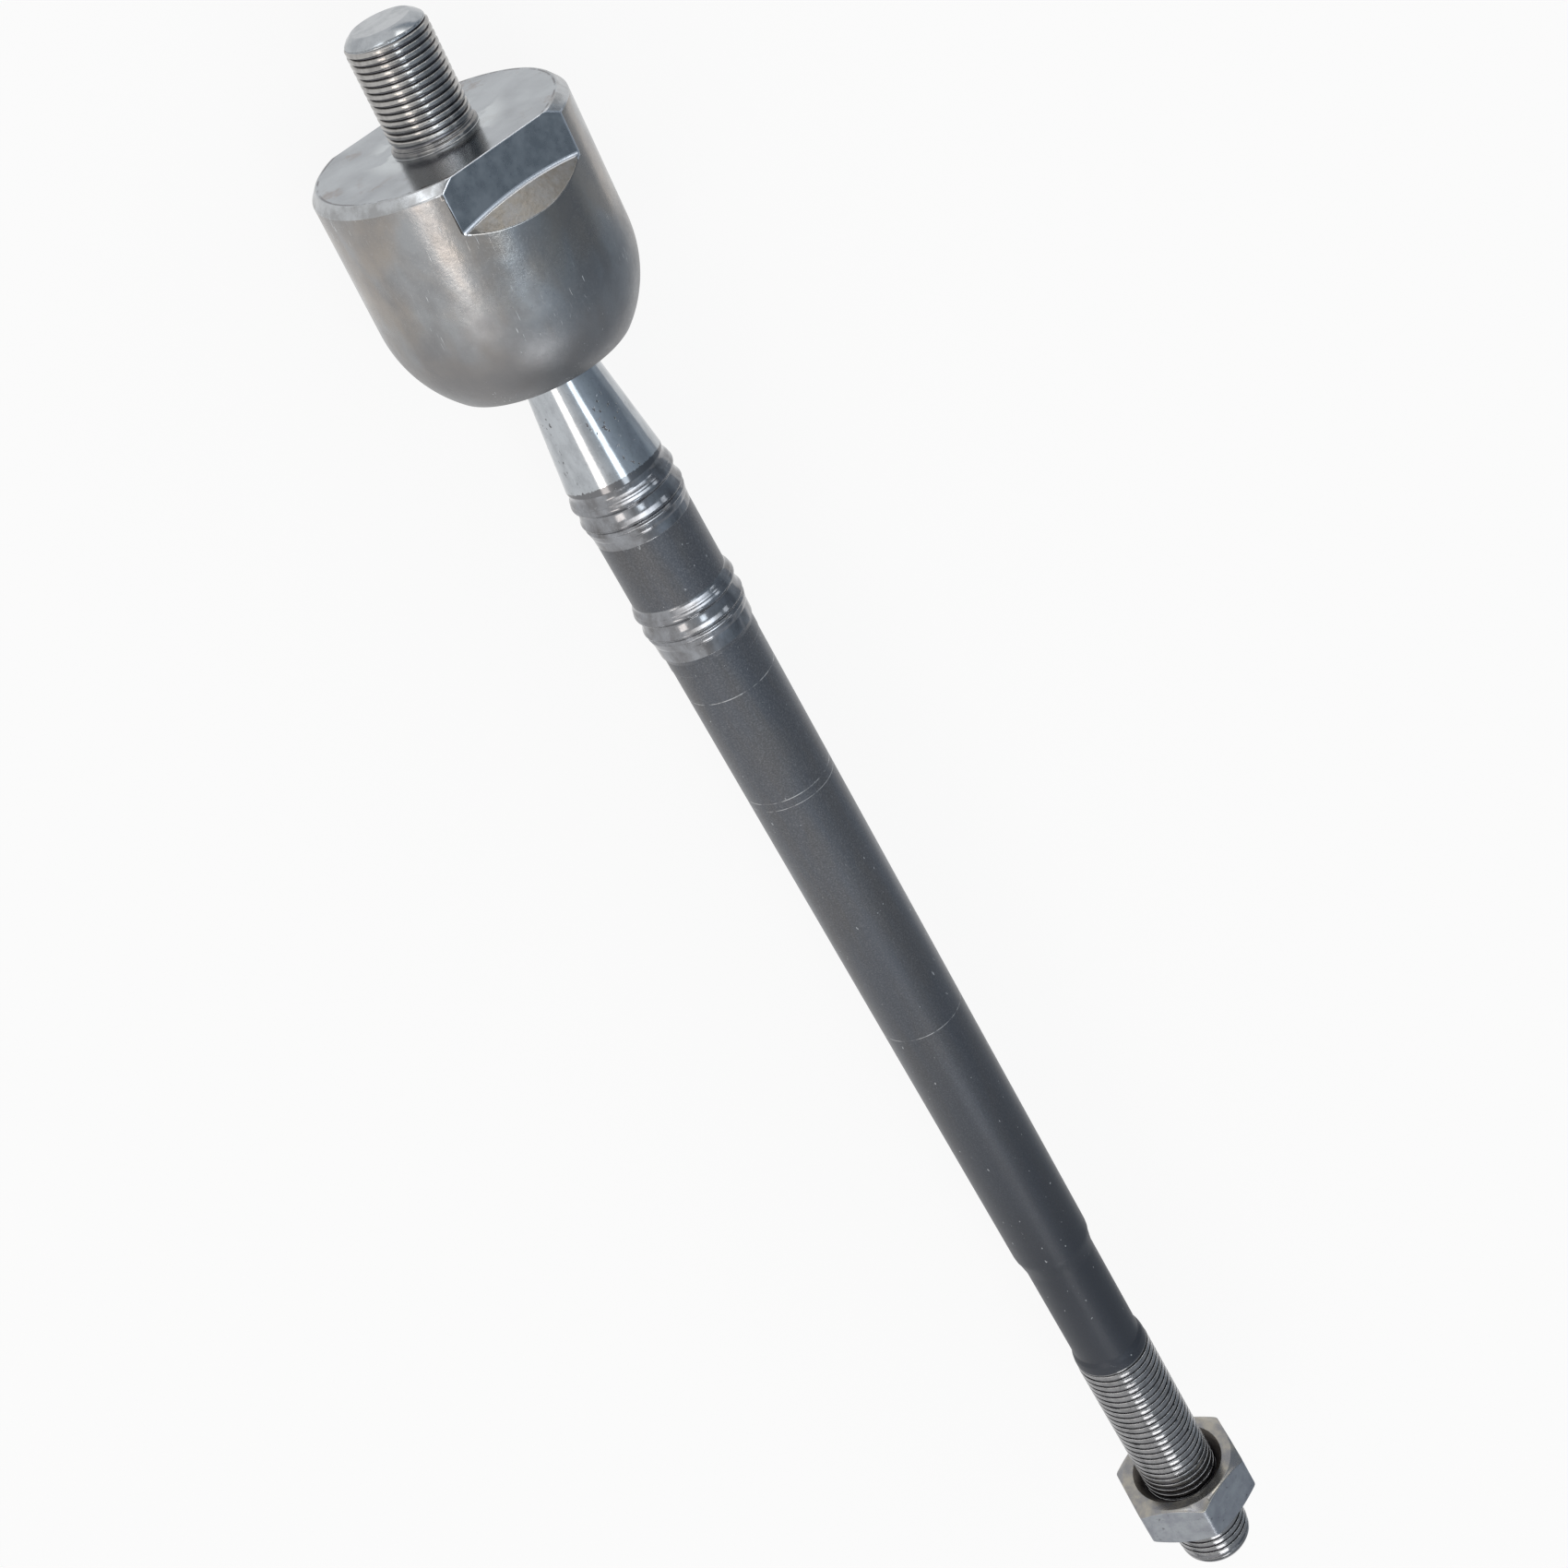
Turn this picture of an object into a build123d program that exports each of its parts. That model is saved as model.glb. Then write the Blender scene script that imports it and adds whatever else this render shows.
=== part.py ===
from build123d import *

import os
from math import asin, atan2, cos, degrees, radians, sin, sqrt, tan

# Inner tie rod of a rack-and-pinion steering gear, in millimetres.
# The housing's axis is +X, from the rack stud towards the outer end, and the
# origin is the inner end of the stud's thread. +Z is up.
# Threads are plain cylinders at their outside diameter.

# Rack stud
STUD_D = 12.0
STUD_THREAD = 15.0
STUD_CHAMFER = 1.4
STUD_RING_D = 12.7
STUD_RING_LEN = 0.5

# Ball, and the fit of seat and housing round it
BALL_R = 13.0
BALL_GAP = 0.05
SEAT_WALL = 1.95
SEAT_GAP = 0.05
SEAT_FLOOR = 1.95
SEAT_VENT_D = 6.0
SEAT_CORNER = 0.8

# How far the rod can swing, and the room that the mouth leaves it there
SWING_LIMIT = 25.0
SWING_CLEARANCE = 0.35

# Housing
HOUSING_WALL = 4.0
HOUSING_FLOOR = 5.5
RIM_CHAMFER_X = 1.3
RIM_CHAMFER_R = 1.05
LIP_LAND = 1.05
LIP_ROUND = 0.4

# Two opposite wrench flats, each ending in the ramp that a round cutter leaves
FLAT_DEPTH = 3.05
FLAT_LEN = 6.45
FLAT_TURN = 24.1
FLAT_CUTTER_R = 55.0
FLAT_RAMP = 48.0
FLAT_HALF_WIDTH = 14.0

# Dished preload disc under the seat
DISC_THICK = 0.75
DISC_DISH = 0.2
DISC_FREE = 0.05
DISC_BORE_D = 10.0
DISC_RIM_GAP = 0.45

# Rod at rest: its swing from the housing's axis, towards +Y and then turned up
REST_SWING = 3.48
REST_TURN = 28.0

# Rod, from the ball outwards. The neck's cone is measured from the ball's centre
NECK_SMALL_D = 7.0
NECK_END = 33.6
NECK_END_D = 15.65
LEAD_LEN = 0.7
MID_D = 15.4
MID_LEN = 11.6
RIDGE_HEIGHT = 0.55
RIDGE_LEN = 2.9
GROOVE_DEPTH = 0.2
GROOVE_LEN = 1.35
BAND_HEIGHT = 0.05
BAND_LEN = 1.6
END_BAND_LEN = 2.4
STEP_LEN = 0.8
STEP_D = 14.9
STEP_LAND = 2.2
SHANK_LEN = 135.8
SHANK_D = 14.75
SHANK_END_D = 14.2
SHOULDER_LEN = 3.9
REDUCED_LEN = 22.7
REDUCED_D = 12.8
FLARE_LEN = 2.8
THREAD_LEN = 57.1
THREAD_D = 14.0
TIP_CHAMFER = 1.5

# Jam nut
NUT_WALL = 3.95
NUT_THICK = 9.5
NUT_FROM_TIP = 13.1
NUT_GAP = 0.05
NUT_SINK_WIDE = 1.75
NUT_SINK_DEPTH = 1.9
NUT_CORNER_ANGLE = 30.0
NUT_CORNER_CUT = 0.35

# The ball's radius sets the seat, the bore and the housing round it
seat_in_r = BALL_R + BALL_GAP
seat_out_r = seat_in_r + SEAT_WALL
bore_r = seat_out_r + SEAT_GAP
housing_r = bore_r + HOUSING_WALL

# Stations along the housing's axis, from the stud to the ball's centre
face_x = STUD_RING_LEN
floor_x = face_x + HOUSING_FLOOR
disc_rise = DISC_THICK + DISC_DISH
seat_x = floor_x + disc_rise + DISC_FREE
ball_x = seat_x + SEAT_FLOOR + seat_in_r

# The neck's edge runs at neck_angle to the rod's axis, and passes the ball's
# centre at neck_offset. At full swing that edge sets the flare of the mouth.
neck_angle = degrees(atan2((NECK_END_D - NECK_SMALL_D) / 2, NECK_END))
neck_offset = NECK_SMALL_D / 2 * cos(radians(neck_angle))
flare_angle = SWING_LIMIT + neck_angle
flare_offset = neck_offset + SWING_CLEARANCE
lip_offset = flare_offset + LIP_LAND * cos(radians(flare_angle))


def on_sphere(sphere_r, line_angle, line_offset):
    """Where a sloping line that passes the centre at an offset leaves a sphere, as (axial, radial)."""
    angle = radians(line_angle) + asin(line_offset / sphere_r)
    return sphere_r * cos(angle), sphere_r * sin(angle)


def halfway(sphere_r, start, end):
    """The point of a sphere midway between two of its points."""
    x, y = start[0] + end[0], start[1] + end[1]
    reach = sqrt(x * x + y * y)
    return sphere_r * x / reach, sphere_r * y / reach


def from_ball(point):
    """A point given from the ball's centre, in the housing's frame."""
    return ball_x + point[0], point[1]


# Housing: stud, seating face, cylinder, and the dome swaged over the ball seat
lip_out = on_sphere(housing_r, flare_angle, lip_offset)
lip_in = (lip_out[0], lip_out[1] - LIP_LAND)
bore_edge = on_sphere(bore_r, flare_angle, flare_offset)
stud_x = -STUD_THREAD - STUD_CHAMFER

with BuildPart() as housing:
    with BuildSketch(Plane.XY):
        with BuildLine():
            Polyline(
                (stud_x, 0),
                (stud_x, STUD_D / 2 - STUD_CHAMFER),
                (-STUD_THREAD, STUD_D / 2),
                (0, STUD_D / 2),
                (0, STUD_RING_D / 2),
                (face_x, STUD_RING_D / 2),
                (face_x, housing_r - RIM_CHAMFER_R),
                (face_x + RIM_CHAMFER_X, housing_r),
                (ball_x, housing_r),
            )
            ThreePointArc(
                (ball_x, housing_r),
                from_ball(halfway(housing_r, (0, housing_r), lip_out)),
                from_ball(lip_out),
            )
            Polyline(from_ball(lip_out), from_ball(lip_in), from_ball(bore_edge))
            ThreePointArc(
                from_ball(bore_edge),
                from_ball(halfway(bore_r, bore_edge, (0, bore_r))),
                (ball_x, bore_r),
            )
            Polyline((ball_x, bore_r), (floor_x, bore_r), (floor_x, 0), (stud_x, 0))
        make_face()
    revolve(axis=Axis.X)
    fillet(housing.edges().filter_by(GeomType.CIRCLE).group_by(Axis.X)[-1], LIP_ROUND)

    # A flat is cut from the face down, and its far end is the round cutter's run-out
    flat_end = face_x + FLAT_LEN
    cutter_x = flat_end + FLAT_CUTTER_R
    corner_x = cutter_x - sqrt(FLAT_CUTTER_R**2 - FLAT_HALF_WIDTH**2)
    for turn in (FLAT_TURN, FLAT_TURN + 180):
        outward = Vector(0, sin(radians(turn)), cos(radians(turn)))
        level = Plane(
            origin=outward * (housing_r - FLAT_DEPTH), x_dir=(1, 0, 0), z_dir=outward
        )
        with BuildSketch(level):
            with BuildLine():
                Polyline(
                    (corner_x, FLAT_HALF_WIDTH),
                    (stud_x, FLAT_HALF_WIDTH),
                    (stud_x, -FLAT_HALF_WIDTH),
                    (corner_x, -FLAT_HALF_WIDTH),
                )
                ThreePointArc(
                    (corner_x, -FLAT_HALF_WIDTH), (flat_end, 0), (corner_x, FLAT_HALF_WIDTH)
                )
            make_face()
        extrude(amount=FLAT_DEPTH + 1, taper=-FLAT_RAMP, mode=Mode.SUBTRACT)

housing.part.label = "housing"


# Preload disc: its rim stands on the bore's floor, and its inner edge carries the seat
disc_rim_r = bore_r - DISC_RIM_GAP

with BuildPart() as preload_disc:
    with BuildSketch(Plane.XY):
        with BuildLine():
            Polyline(
                (floor_x, disc_rim_r),
                (floor_x + DISC_THICK, disc_rim_r),
                (floor_x + disc_rise, DISC_BORE_D / 2),
                (floor_x + DISC_DISH, DISC_BORE_D / 2),
                close=True,
            )
        make_face()
    revolve(axis=Axis.X)

preload_disc.part.label = "preload_disc"


# Ball seat: a cylinder behind the ball's centre and a dome in front of it
seat_out_edge = on_sphere(seat_out_r, flare_angle, flare_offset)
seat_in_edge = on_sphere(seat_in_r, flare_angle, flare_offset)
vent_r = SEAT_VENT_D / 2
vent_edge = (-sqrt(seat_in_r**2 - vent_r**2), vent_r)

with BuildPart() as ball_seat:
    with BuildSketch(Plane.XY):
        with BuildLine():
            Polyline(
                from_ball(vent_edge),
                (seat_x, vent_r),
                (seat_x, seat_out_r - SEAT_CORNER),
                (seat_x + SEAT_CORNER, seat_out_r),
                (ball_x, seat_out_r),
            )
            ThreePointArc(
                (ball_x, seat_out_r),
                from_ball(halfway(seat_out_r, (0, seat_out_r), seat_out_edge)),
                from_ball(seat_out_edge),
            )
            Line(from_ball(seat_out_edge), from_ball(seat_in_edge))
            ThreePointArc(
                from_ball(seat_in_edge), (ball_x, seat_in_r), from_ball(vent_edge)
            )
        make_face()
    revolve(axis=Axis.X)

ball_seat.part.label = "ball_seat"


# Rod: ball, tapered neck, two ribbed collars, shank, reduced section and thread
swing, lift = radians(REST_SWING), radians(REST_TURN)
rod_dir = Vector(cos(swing), sin(swing) * cos(lift), sin(swing) * sin(lift))
rod_up = Vector(0, -sin(lift), cos(lift))
rod_plane = Plane(origin=(ball_x, 0, 0), x_dir=rod_dir, z_dir=rod_up)
rod_axis = Axis((ball_x, 0, 0), rod_dir)
neck_start = on_sphere(BALL_R, neck_angle, neck_offset)
mid_r = MID_D / 2


def collar(start):
    """Draws two rounded ridges with a groove between them, and returns where they end."""
    first_end = start + RIDGE_LEN
    second = first_end + GROOVE_LEN
    end = second + RIDGE_LEN
    crest_r = mid_r + RIDGE_HEIGHT
    root_r = mid_r - GROOVE_DEPTH
    ThreePointArc((start, mid_r), (start + RIDGE_LEN / 2, crest_r), (first_end, mid_r))
    ThreePointArc((first_end, mid_r), (first_end + GROOVE_LEN / 2, root_r), (second, mid_r))
    ThreePointArc((second, mid_r), (second + RIDGE_LEN / 2, crest_r), (end, mid_r))
    return end


with BuildPart() as tie_rod:
    with BuildSketch(rod_plane):
        with BuildLine():
            Line((0, 0), (-BALL_R, 0))
            ThreePointArc((-BALL_R, 0), halfway(BALL_R, (-BALL_R, 0), neck_start), neck_start)
            collar_1 = NECK_END + LEAD_LEN
            Polyline(neck_start, (NECK_END, NECK_END_D / 2), (collar_1, mid_r))
            band_1 = collar(collar_1)
            mid_start = band_1 + BAND_LEN
            collar_2 = mid_start + MID_LEN
            band_r = mid_r + BAND_HEIGHT
            Polyline(
                (band_1, mid_r),
                (band_1, band_r),
                (mid_start, band_r),
                (mid_start, mid_r),
                (collar_2, mid_r),
            )
            band_2 = collar(collar_2)
            step = band_2 + END_BAND_LEN
            land = step + STEP_LEN
            shank = land + STEP_LAND
            shoulder = shank + SHANK_LEN
            reduced = shoulder + SHOULDER_LEN
            flare = reduced + REDUCED_LEN
            thread = flare + FLARE_LEN
            tip = thread + THREAD_LEN
            Polyline(
                (band_2, mid_r),
                (band_2, band_r),
                (step, band_r),
                (land, STEP_D / 2),
                (shank, STEP_D / 2),
                (shank, SHANK_D / 2),
                (shoulder, SHANK_END_D / 2),
                (reduced, REDUCED_D / 2),
                (flare, REDUCED_D / 2),
                (thread, THREAD_D / 2),
                (tip - TIP_CHAMFER, THREAD_D / 2),
                (tip, THREAD_D / 2 - TIP_CHAMFER),
                (tip, 0),
                (0, 0),
            )
        make_face()
    revolve(axis=rod_axis)

tie_rod.part.label = "tie_rod"


# Jam nut: one turned outline takes off its corners and sinks the bore's mouths
nut_at = tip - NUT_FROM_TIP - NUT_THICK
nut_bore_r = THREAD_D / 2 + NUT_GAP
nut_flat_r = nut_bore_r + NUT_WALL
nut_corner_r = nut_flat_r / cos(radians(30))
nut_face_r = nut_flat_r - NUT_CORNER_CUT
nut_sink_r = nut_bore_r + NUT_SINK_WIDE
cone_rise = (nut_corner_r - nut_face_r) * tan(radians(NUT_CORNER_ANGLE))
nut_origin = rod_plane.origin + rod_dir * nut_at

with BuildPart() as jam_nut:
    with BuildSketch(Plane(origin=nut_origin, x_dir=(0, 0, 1), z_dir=rod_dir)):
        RegularPolygon(nut_corner_r, 6)
        Circle(nut_bore_r, mode=Mode.SUBTRACT)
    extrude(amount=NUT_THICK)
    with BuildSketch(Plane(origin=nut_origin, x_dir=rod_dir, z_dir=rod_up)):
        with BuildLine():
            Polyline(
                (0, nut_sink_r),
                (0, nut_face_r),
                (cone_rise, nut_corner_r),
                (NUT_THICK - cone_rise, nut_corner_r),
                (NUT_THICK, nut_face_r),
                (NUT_THICK, nut_sink_r),
                (NUT_THICK - NUT_SINK_DEPTH, nut_bore_r),
                (NUT_SINK_DEPTH, nut_bore_r),
                close=True,
            )
        make_face()
    revolve(axis=rod_axis, mode=Mode.INTERSECT)

jam_nut.part.label = "jam_nut"


os.makedirs("parts", exist_ok=True)
export_step(housing.part, "parts/housing.step")
export_step(preload_disc.part, "parts/preload_disc.step")
export_step(ball_seat.part, "parts/ball_seat.step")
export_step(tie_rod.part, "parts/tie_rod.step")
export_step(jam_nut.part, "parts/jam_nut.step")
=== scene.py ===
import math

import bmesh
import bpy
from mathutils import Matrix, Vector


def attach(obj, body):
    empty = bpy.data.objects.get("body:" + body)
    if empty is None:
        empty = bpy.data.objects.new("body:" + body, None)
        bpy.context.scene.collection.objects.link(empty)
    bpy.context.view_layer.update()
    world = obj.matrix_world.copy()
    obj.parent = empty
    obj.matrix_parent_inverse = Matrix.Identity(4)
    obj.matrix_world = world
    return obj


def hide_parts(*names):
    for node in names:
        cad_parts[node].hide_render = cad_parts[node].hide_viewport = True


# Inner tie rod of a rack-and-pinion steering gear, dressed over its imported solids.
# The housing's axis is +X, the origin is the inner end of the stud's thread, and
# +Z is up. Sizes are in millimetres and are turned into metres in the meshes.
MM = 0.001

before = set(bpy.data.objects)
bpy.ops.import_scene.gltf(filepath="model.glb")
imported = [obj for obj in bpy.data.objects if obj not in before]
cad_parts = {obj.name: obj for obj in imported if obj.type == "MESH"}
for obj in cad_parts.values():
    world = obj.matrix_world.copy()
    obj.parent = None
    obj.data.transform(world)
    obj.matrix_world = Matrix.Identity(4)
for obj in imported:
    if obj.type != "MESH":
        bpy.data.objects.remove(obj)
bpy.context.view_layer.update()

# Housing and stud, as in the solids
BALL_X = 22.0
HOUSING_R = 19.05
BORE_R = 15.05
FACE_X = 0.5
FLOOR_X = 6.0
RIM_CHAMFER_X = 1.3
RIM_CHAMFER_R = 1.05
STUD_R = 6.0
STUD_THREAD = 15.0
STUD_CHAMFER = 1.4
STUD_RING_R = 6.35
STUD_PITCH = 1.0
STUD_DEPTH = 0.34 * STUD_PITCH
STUD_CORE_R = STUD_R - STUD_DEPTH
LIP_LAND = 1.05
SWING_LIMIT = 25.0
SWING_CLEARANCE = 0.35
FLAT_DEPTH = 3.05
FLAT_LEN = 6.45
FLAT_TURN = 24.1
FLAT_TURNS = (FLAT_TURN, FLAT_TURN + 180)
FLAT_CUTTER_R = 55.0
FLAT_RAMP = 48.0
FLAT_HALF_WIDTH = 14.0

# Stations past the mouth and past the flats, and the angle from which an edge is rounded
MOUTH_X = BALL_X + 13.2
PAST_FLATS_X = 14.0
SHARP_ANGLE = 20.0

# Rod: its rest direction, and its stations from the ball's centre
REST_SWING = math.radians(3.48)
REST_TURN = math.radians(28.0)
BALL_R = 13.0
NECK_SMALL_R = 3.5
NECK_END = 33.6
NECK_END_R = 7.825
COLLAR_1 = 34.3
COLLAR_2 = 54.65
BAND_1_END = 43.05
BAND_2_END = 64.2
STEP_END = 65.0
SHANK_START = 67.2
SHANK_END = 203.0
REDUCED_START = 206.9
REDUCED_END = 229.6
THREAD_START = 232.4
TIP = 289.5
MID_R = 7.7
BAND_R = 7.75
STEP_R = 7.45
SHANK_R = 7.375
SHANK_END_R = 7.1
REDUCED_R = 6.4
THREAD_R = 7.0
THREAD_PITCH = 1.5
THREAD_DEPTH = 0.15 * THREAD_PITCH
THREAD_CORE_R = THREAD_R - THREAD_DEPTH
TIP_CHAMFER = 1.5

# Station and width of each ring scribed round the shank
SCRIBED_RINGS = ((72.8, 0.10), (93.1, 0.10), (94.6, 0.07), (145.6, 0.08))

# Jam nut, from the ball's centre too
NUT_START = 266.9
NUT_THICK = 9.5
NUT_BORE_R = 7.05
NUT_FLAT_R = 11.0
NUT_FACE_R = 10.65
NUT_SINK_R = 8.8
NUT_SINK_DEPTH = 1.9
NUT_CORNER_ANGLE = 30.0
NUT_CORNER_CUT = 0.12

# How far a turned corner is rounded back
CORNER_CUT = 0.12

# The mouth's flare lets the neck pass at full swing, with the clearance between them
neck_slope = math.atan2(NECK_END_R - NECK_SMALL_R, NECK_END)
neck_offset = NECK_SMALL_R * math.cos(neck_slope)
flare = math.radians(SWING_LIMIT) + neck_slope
flare_offset = neck_offset + SWING_CLEARANCE


def on_sphere(radius, slope, offset):
    """Where a sloping line that passes the ball's centre at an offset leaves a sphere."""
    angle = slope + math.asin(offset / radius)
    return radius * math.cos(angle), radius * math.sin(angle)


lip_out = on_sphere(HOUSING_R, flare, flare_offset + LIP_LAND * math.cos(flare))
lip_in = (lip_out[0], lip_out[1] - LIP_LAND)
bore_edge = on_sphere(BORE_R, flare, flare_offset)

rod_dir = Vector(
    (
        math.cos(REST_SWING),
        math.sin(REST_SWING) * math.cos(REST_TURN),
        math.sin(REST_SWING) * math.sin(REST_TURN),
    )
)
rod_up = Vector((0.0, 0.0, 1.0))
rod_up = (rod_up - rod_dir * rod_up.dot(rod_dir)).normalized()
rod_side = rod_up.cross(rod_dir)
rod_frame = Matrix((rod_dir, rod_side, rod_up)).transposed().to_4x4()
rod_frame.translation = Vector((BALL_X, 0.0, 0.0)) * MM
housing_frame = Matrix.Identity(4)


# Shapes


def in_scene(part):
    """Puts the object into the scene."""
    bpy.context.scene.collection.objects.link(part)
    return part


def turn_outwards(mesh):
    """Points every face of the mesh outwards, and shades it smooth."""
    shaper = bmesh.new()
    shaper.from_mesh(mesh)
    bmesh.ops.recalc_face_normals(shaper, faces=shaper.faces)
    shaper.to_mesh(mesh)
    shaper.free()
    mesh.shade_smooth()


def keep_mesh(name, verts, faces):
    """A new object from points in metres, with its faces turned outwards."""
    mesh = bpy.data.meshes.new(name)
    mesh.from_pydata(verts, [], faces)
    mesh.validate()
    turn_outwards(mesh)
    return in_scene(bpy.data.objects.new(name, mesh))


def baked(part, name):
    """The object with its modifiers worked out, as a plain mesh."""
    depsgraph = bpy.context.evaluated_depsgraph_get()
    mesh = bpy.data.meshes.new_from_object(part.evaluated_get(depsgraph))
    bpy.data.objects.remove(part)
    mesh.name = name
    return in_scene(bpy.data.objects.new(name, mesh))


def levelled(part, name, keep_sharp=False):
    """The object as a plain mesh, shaded as its larger faces lie."""
    leveller = part.modifiers.new("Level shading", "WEIGHTED_NORMAL")
    leveller.weight = 80
    leveller.keep_sharp = keep_sharp
    return baked(part, name)


def arc(centre, radius, start, end, steps):
    """Points of a circular arc in the (axial, radial) plane, angles in degrees."""
    points = []
    for i in range(steps + 1):
        angle = math.radians(start + (end - start) * i / steps)
        points.append((centre[0] + radius * math.cos(angle), centre[1] + radius * math.sin(angle)))
    return points


def softened(outline, cut, sharpest=14.0):
    """Rounds the outline's corners a little, with a support point beside each."""
    made = [outline[0]]
    for i in range(1, len(outline) - 1):
        here = Vector(outline[i])
        back = Vector(outline[i - 1]) - here
        ahead = Vector(outline[i + 1]) - here
        turn = 180 - math.degrees(back.angle(ahead, math.pi))
        if turn < sharpest:
            made.append(outline[i])
            continue
        step = min(cut, 0.3 * back.length, 0.3 * ahead.length)
        back.normalize()
        ahead.normalize()
        first = here + back * step
        last = here + ahead * step
        middle = (first + last) * 0.25 + here * 0.5
        for point in (first + back * step, first, middle, last, last + ahead * step):
            made.append(tuple(point))
    made.append(outline[-1])
    return made


def turned(name, outline, around, place):
    """A solid turned about the local X axis from an outline of (axial, radial) points."""
    verts, rings = [], []
    for along, radius in outline:
        if radius < 1e-6:
            rings.append([len(verts)])
            verts.append(place @ (Vector((along, 0.0, 0.0)) * MM))
            continue
        ring = []
        for k in range(around):
            angle = 2 * math.pi * k / around
            point = Vector((along, radius * math.cos(angle), radius * math.sin(angle)))
            ring.append(len(verts))
            verts.append(place @ (point * MM))
        rings.append(ring)
    faces = []
    for one, two in zip(rings, rings[1:]):
        for k in range(around):
            after = (k + 1) % around
            if len(one) == 1:
                faces.append((one[0], two[after], two[k]))
            elif len(two) == 1:
                faces.append((one[k], one[after], two[0]))
            else:
                faces.append((one[k], one[after], two[after], two[k]))
    return keep_mesh(name, verts, faces)


def off_axis(spot):
    """How far a point lies from the X axis."""
    return math.hypot(spot.y, spot.z)


def paint(part, finishes, choose, place=housing_frame):
    """Gives each face one of the finishes. choose gets its centre and its normal."""
    for finish in finishes:
        part.data.materials.append(finish)
    back = place.inverted()
    turn = back.to_3x3()
    for face in part.data.polygons:
        face.material_index = choose(back @ face.center / MM, turn @ face.normal)


def feed(links, socket, value):
    """Gives a socket a plain value, or links another node's output to it."""
    if isinstance(value, bpy.types.NodeSocket):
        links.new(value, socket)
    else:
        socket.default_value = value


def combined(nodes, links, operation, *values):
    """One Math node on numbers or on other nodes' outputs."""
    node = nodes.new("ShaderNodeMath")
    node.operation = operation
    for socket, value in zip(node.inputs, values):
        feed(links, socket, value)
    return node.outputs[0]


# Threads: a ridge of trapezoid section is wound round the core along a helix

# Depth of the ridge's section to the thread's depth, as its foot lies in the core
RIDGE_DEPTH = 1.25
TURN_STEPS = 64


def thread_tree():
    """Geometry Nodes that wind one screw thread. Sizes are in metres, the axis is Z."""
    tree = bpy.data.node_groups.new("wind_thread", "GeometryNodeTree")
    face = tree.interface
    lengths = ("Core Radius", "Pitch", "Turns", "Depth", "Root Width", "Crest Width", "Rounding")
    named = [(label, "NodeSocketFloat") for label in (*lengths, "Run Out Turns")]
    named += [("Steps Per Turn", "NodeSocketInt"), ("Finish", "NodeSocketMaterial")]
    for label, kind in named:
        face.new_socket(label, in_out="INPUT", socket_type=kind)
    face.new_socket("Thread", in_out="OUTPUT", socket_type="NodeSocketGeometry")
    nodes, links = tree.nodes, tree.links
    given = nodes.new("NodeGroupInput").outputs
    out = nodes.new("NodeGroupOutput").inputs

    def worked(operation, one, two):
        return combined(nodes, links, operation, one, two)

    helix = nodes.new("GeometryNodeCurveSpiral")
    links.new(given["Steps Per Turn"], helix.inputs["Resolution"])
    links.new(given["Turns"], helix.inputs["Rotations"])
    links.new(given["Core Radius"], helix.inputs["Start Radius"])
    links.new(given["Core Radius"], helix.inputs["End Radius"])
    links.new(worked("MULTIPLY", given["Pitch"], given["Turns"]), helix.inputs["Height"])

    upright = nodes.new("GeometryNodeSetCurveNormal")
    upright.mode = "Z_UP"
    links.new(helix.outputs[0], upright.inputs["Curve"])

    # The ridge rises out of the core at one end and sinks back into it at the other
    along = nodes.new("GeometryNodeSplineParameter").outputs["Factor"]
    from_start = worked("MULTIPLY", along, given["Turns"])
    from_end = worked("SUBTRACT", given["Turns"], from_start)
    nearest = worked("MINIMUM", from_start, from_end)
    share = worked("MINIMUM", worked("DIVIDE", nearest, given["Run Out Turns"]), 1.0)
    rise = worked("MAXIMUM", share, 0.05)

    section = nodes.new("GeometryNodeCurvePrimitiveQuadrilateral")
    section.mode = "TRAPEZOID"
    links.new(given["Root Width"], section.inputs["Bottom Width"])
    links.new(given["Crest Width"], section.inputs["Top Width"])
    links.new(given["Depth"], section.inputs["Height"])
    section.inputs["Offset"].default_value = 0.0
    eased = nodes.new("GeometryNodeFilletCurve")
    eased.mode = "POLY"
    links.new(section.outputs[0], eased.inputs["Curve"])
    eased.inputs["Count"].default_value = 3
    eased.inputs["Limit Radius"].default_value = True
    links.new(given["Rounding"], eased.inputs["Radius"])
    seated = nodes.new("GeometryNodeTransform")
    links.new(eased.outputs[0], seated.inputs["Geometry"])
    seated.inputs["Rotation"].default_value = (0.0, 0.0, math.radians(90))
    # A tenth of the section's depth lies inside the core
    outwards = worked("MULTIPLY", given["Depth"], -0.40)
    spot = nodes.new("ShaderNodeCombineXYZ")
    links.new(outwards, spot.inputs["X"])
    links.new(spot.outputs[0], seated.inputs["Translation"])

    sweep = nodes.new("GeometryNodeCurveToMesh")
    links.new(upright.outputs[0], sweep.inputs["Curve"])
    links.new(seated.outputs[0], sweep.inputs["Profile Curve"])
    links.new(rise, sweep.inputs["Scale"])
    sweep.inputs["Fill Caps"].default_value = True
    whole = nodes.new("GeometryNodeRealizeInstances")
    links.new(sweep.outputs[0], whole.inputs["Geometry"])
    dressed = nodes.new("GeometryNodeSetMaterial")
    links.new(whole.outputs[0], dressed.inputs["Geometry"])
    links.new(given["Finish"], dressed.inputs["Material"])
    links.new(dressed.outputs[0], out["Thread"])
    return tree


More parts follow.
